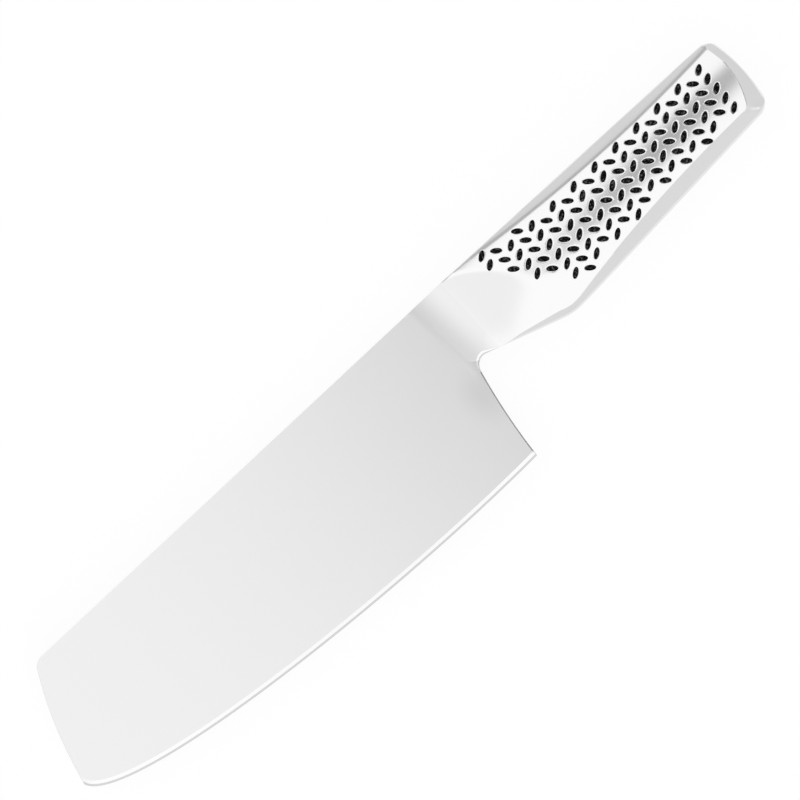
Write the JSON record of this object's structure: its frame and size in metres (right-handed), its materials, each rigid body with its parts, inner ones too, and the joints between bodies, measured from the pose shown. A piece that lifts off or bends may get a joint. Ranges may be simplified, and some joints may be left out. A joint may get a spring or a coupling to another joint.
{
  "type": "vegetable knife",
  "caption": "Broad all-steel vegetable knife with a straight spine, a slanted tip and a hollow welded handle with black-filled grip dents.",
  "frame": {"origin": "middle of the knife's plan, on the level of the surface that the handle lies on", "axes": "+X from the point of the blade to the butt of the handle, +Y from the cutting edge to the spine, +Z out of the left flank, which lies upwards"},
  "size_m": [0.3138, 0.0626, 0.0178],
  "materials": {
    "blade_steel": "fine satin grind",
    "handle_steel": "satin polished",
    "weld_steel": "ground flush and polished",
    "grip_enamel": "black enamel baked into the dents",
    "sand": "dry loose sand"
  },
  "bodies": {
    "root": {"blade": "blade_steel", "handle_shell_left": "handle_steel", "handle_shell_right": "handle_steel", "spine_seam_weld": "weld_steel", "butt_seam_weld": "weld_steel", "belly_seam_weld": "weld_steel", "neck_weld_left": "weld_steel", "neck_weld_right": "weld_steel", "sand_charge": "sand"}
  },
  "joints": []
}
